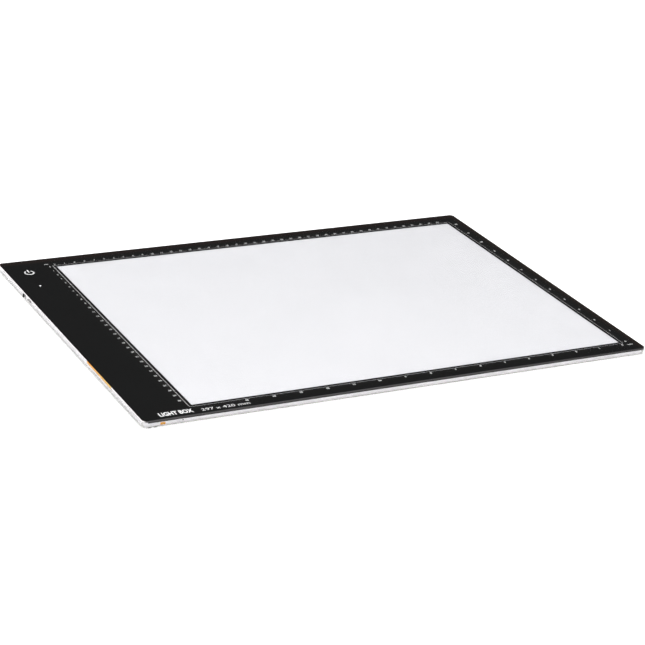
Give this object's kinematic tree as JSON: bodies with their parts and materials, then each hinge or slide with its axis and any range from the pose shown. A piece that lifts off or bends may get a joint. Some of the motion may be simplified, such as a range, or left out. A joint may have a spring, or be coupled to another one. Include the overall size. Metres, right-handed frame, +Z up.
{
  "type": "light box",
  "caption": "Thin flat light box for tracing: a lit window in a black printed border, a clear rim, feet below, a power inlet and a slide switch in the left side.",
  "frame": {"origin": "centre of the footprint, on the surface that the feet stand on", "axes": "+Z up, +X along the long side away from the control end, -Y towards the person who draws"},
  "size_m": [0.498, 0.348, 0.009],
  "materials": {
    "clear_panel": "clear smooth acrylic, satin gloss",
    "black_print": "matt black screen print",
    "black_foam": "fine-celled black foam",
    "clear_rim": "clear sawn and flame-polished acrylic",
    "white_tape": "matt white tape",
    "white_cover": "fine-textured white plastic sheet",
    "foot_rubber": "soft pale silicone",
    "screw_steel": "bright zinc",
    "label_paper": "blank satin label",
    "white_frame": "moulded white plastic",
    "white_film": "glossy white film",
    "guide_acrylic": "clear polished acrylic",
    "prism_film": "finely ribbed clear film",
    "diffuser_white": "milky white",
    "board_aluminium": "white-coated aluminium strip",
    "grey_adhesive": "thermal adhesive tape",
    "lamp_phosphor": "white case with a yellow window",
    "cell_foil": "satin foil pouch",
    "amber_tape": "amber polyimide tape",
    "nickel": "plated strip",
    "board_green": "green solder mask",
    "chip_black": "moulded black package",
    "wire_red": "soft insulation",
    "wire_black": "soft insulation",
    "wire_white": "soft insulation",
    "ferrite_grey": "matt ferrite",
    "capacitor_tan": "matt ceramic with bright ends",
    "natural_nylon": "natural nylon",
    "light_pipe_white": "milky acrylic",
    "white_print": "white screen print",
    "lever_black": "moulded black plastic",
    "copper": "bare copper foil"
  },
  "bodies": {
    "light_box": {"back_cover": "white_cover", "battery_cell": "cell_foil", "battery_header": "natural_nylon", "battery_lead_black": "wire_black", "battery_lead_red": "wire_red", "battery_pads": "black_foam", "battery_plug": "natural_nylon", "battery_tabs": "nickel", "battery_tape": "amber_tape", "board_capacitors": "capacitor_tan", "board_resistors": "chip_black", "control_board": "board_green", "control_chips": "chip_black", "cover_screws": "screw_steel", "cover_tape": "white_tape", "diffuser_plate": "diffuser_white", "foam_tape": "black_foam", "guide_edge_tape": "white_tape", "indicator_lamp": "lamp_phosphor", "inlet_pin": "nickel", "inlet_shell": "natural_nylon", "inner_frame": "white_frame", "lamp_board_back": "board_aluminium", "lamp_board_front": "board_aluminium", "lamp_board_tape": "grey_adhesive", "lamp_headers": "natural_nylon", "lamp_lead_back": "wire_white", "lamp_lead_front": "wire_white", "lamp_plugs": "natural_nylon", "lamps_back": "lamp_phosphor", "lamps_front": "lamp_phosphor", "lead_tape": "amber_tape", "light_guide": "guide_acrylic", "light_pipe": "light_pipe_white", "power_inductor": "ferrite_grey", "print_mask": "black_print", "prism_film": "prism_film", "protection_board": "board_green", "protection_chips": "chip_black", "rating_label": "label_paper", "reflector_sheet": "white_film", "rim_frame": "clear_rim", "rubber_feet": "foot_rubber", "solder_tabs": "nickel", "switch_body": "natural_nylon", "top_panel": "clear_panel", "touch_pad": "copper", "touch_post": "black_foam"},
    "lever": {"switch_lever": "lever_black"}
  },
  "joints": [
    {"name": "lever_slide", "type": "slide", "parent": "light_box", "child": "lever", "axis": [0, 1, 0], "range_m": [0, 0.002]}
  ]
}
